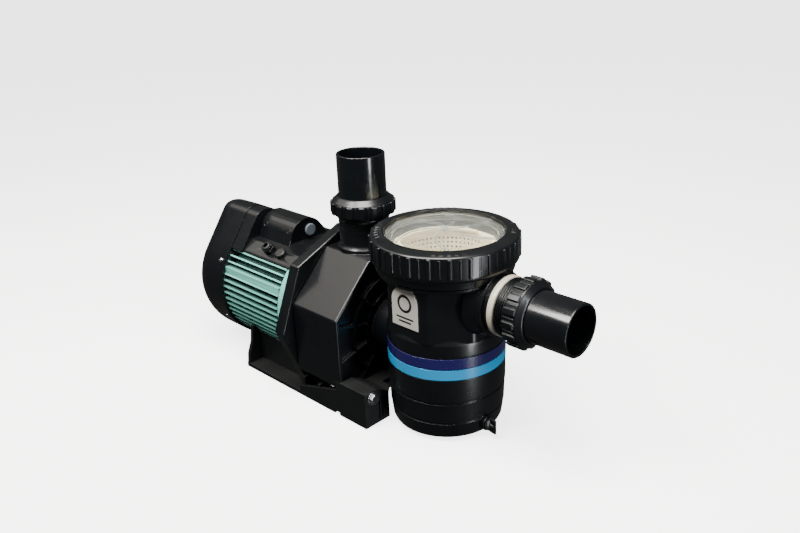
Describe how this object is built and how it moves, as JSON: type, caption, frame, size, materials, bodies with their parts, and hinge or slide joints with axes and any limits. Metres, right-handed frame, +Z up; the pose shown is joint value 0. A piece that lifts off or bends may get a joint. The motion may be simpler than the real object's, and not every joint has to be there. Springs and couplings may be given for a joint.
{
  "type": "pool pump",
  "caption": "Self-priming pool pump: clear-lidded strainer pot, octagonal volute, threaded pipe unions and a finned fan-cooled motor on a moulded base.",
  "frame": {"origin": "on the ground under the middle of the pump's bounding box", "axes": "+X along the shaft towards the suction port, +Z up, +Y to the far side of the badge"},
  "size_m": [0.624, 0.239, 0.3258],
  "materials": {
    "black_gloss": "glossy black moulded plastic",
    "black_satin": "satin black moulded plastic",
    "pipe_black": "smooth extruded black pipe",
    "rubber": "black rubber",
    "white_ring": "off-white moulded plastic",
    "light_blue": "light blue film",
    "dark_blue": "dark blue film",
    "badge_silver": "plain silver plate",
    "clear_plastic": "clear moulded polycarbonate",
    "cream_plastic": "cream moulded plastic",
    "teal_paint": "light teal paint on finned aluminium",
    "cast_grey": "dark laminated or cast iron",
    "seal_ceramic": "polished ceramic",
    "copper": "varnished copper winding",
    "bright_steel": "bright steel",
    "grey_blue": "grey-blue plastic"
  },
  "bodies": {
    "pump_body": {"volute_casing": "black_gloss", "seal_plate": "black_gloss", "strainer_pot": "black_gloss", "suction_nipple": "black_gloss", "fan_cover": "black_gloss", "terminal_box": "black_gloss", "terminal_box_cover": "black_gloss", "base_frame": "black_satin", "front_foot": "black_satin", "cable_gland_body": "black_satin", "cable_gland_nut": "black_satin", "blanking_plug": "black_satin", "diffuser": "black_satin", "pot_neck_seal": "rubber", "suction_gasket_ring": "white_ring", "band_light": "light_blue", "band_dark": "dark_blue", "badge_plate": "badge_silver", "terminal_block": "cream_plastic", "motor_frame": "teal_paint", "front_end_shield": "teal_paint", "rear_end_shield": "cast_grey", "stator_core": "cast_grey", "seal_stationary_seat": "seal_ceramic", "stator_winding_front": "copper", "stator_winding_rear": "copper", "front_bearing": "bright_steel", "rear_bearing": "bright_steel", "run_capacitor": "grey_blue", "box_end_plug": "grey_blue", "casing_bolt_1": "bright_steel", "fan_cover_screw_1": "bright_steel", "casing_bolt_2": "bright_steel", "fan_cover_screw_2": "bright_steel", "casing_bolt_3": "bright_steel", "fan_cover_screw_3": "bright_steel", "casing_bolt_4": "bright_steel", "fan_cover_screw_4": "bright_steel", "foot_bolt_left": "bright_steel", "foot_bolt_right": "bright_steel"},
    "lid": {"clear_lid": "clear_plastic", "lid_o_ring": "rubber"},
    "lock_ring": {"lid_lock_ring": "black_gloss"},
    "basket": {"strainer_basket": "cream_plastic"},
    "basket_bail": {"basket_handle": "cream_plastic"},
    "suction_pipe": {"suction_spigot": "pipe_black", "suction_union_seal": "rubber"},
    "suction_nut": {"suction_union_nut": "black_gloss"},
    "discharge_pipe": {"discharge_spigot": "pipe_black", "discharge_union_seal": "rubber"},
    "discharge_nut": {"discharge_union_nut": "black_gloss"},
    "drain": {"drain_plug": "black_satin"},
    "rotor": {"motor_shaft": "bright_steel", "rotor_core": "cast_grey", "cooling_fan": "black_satin", "impeller": "black_satin", "impeller_screw": "bright_steel", "seal_rotating_face": "cast_grey"}
  },
  "joints": [
    {"name": "rotor_spin", "type": "hinge", "parent": "pump_body", "child": "rotor", "pos_m": [0, 0, 0.1], "axis": [1, 0, 0], "continuous": true},
    {"name": "lid_lift", "type": "slide", "parent": "pump_body", "child": "lid", "axis": [0, 0, 1], "range_m": [0, 0.26]},
    {"name": "lock_ring_turn", "type": "hinge", "parent": "lid", "child": "lock_ring", "pos_m": [0.1155, 0, 0.23], "axis": [0, 0, 1], "range_deg": [0, 270]},
    {"name": "basket_lift", "type": "slide", "parent": "pump_body", "child": "basket", "axis": [0, 0, 1], "range_m": [0, 0.1565]},
    {"name": "handle_swing", "type": "hinge", "parent": "basket", "child": "basket_bail", "pos_m": [0.1155, 0, 0.2324], "axis": [0, 1, 0], "range_deg": [0, 75]},
    {"name": "suction_pull", "type": "slide", "parent": "pump_body", "child": "suction_pipe", "axis": [1, 0, 0], "range_m": [0, 0.06]},
    {"name": "suction_nut_turn", "type": "hinge", "parent": "suction_pipe", "child": "suction_nut", "pos_m": [0.2326, 0, 0.1814], "axis": [1, 0, 0], "range_deg": [0, 540]},
    {"name": "discharge_pull", "type": "slide", "parent": "pump_body", "child": "discharge_pipe", "axis": [0, 0, 1], "range_m": [0, 0.06]},
    {"name": "discharge_nut_turn", "type": "hinge", "parent": "discharge_pipe", "child": "discharge_nut", "pos_m": [-0.0281, 0, 0.2464], "axis": [0, 0, 1], "range_deg": [0, 540]},
    {"name": "drain_plug_turn", "type": "hinge", "parent": "pump_body", "child": "drain", "pos_m": [0.1155, 0, 0.018], "axis": [0.9903, -0.1392, 0], "range_deg": [0, 720]}
  ],
  "couplings": [
    {"joint": "basket_lift", "follows": "lid_lift", "ratio": 0.6},
    {"joint": "handle_swing", "follows": "lid_lift", "rad_per_m": 4.9}
  ]
}
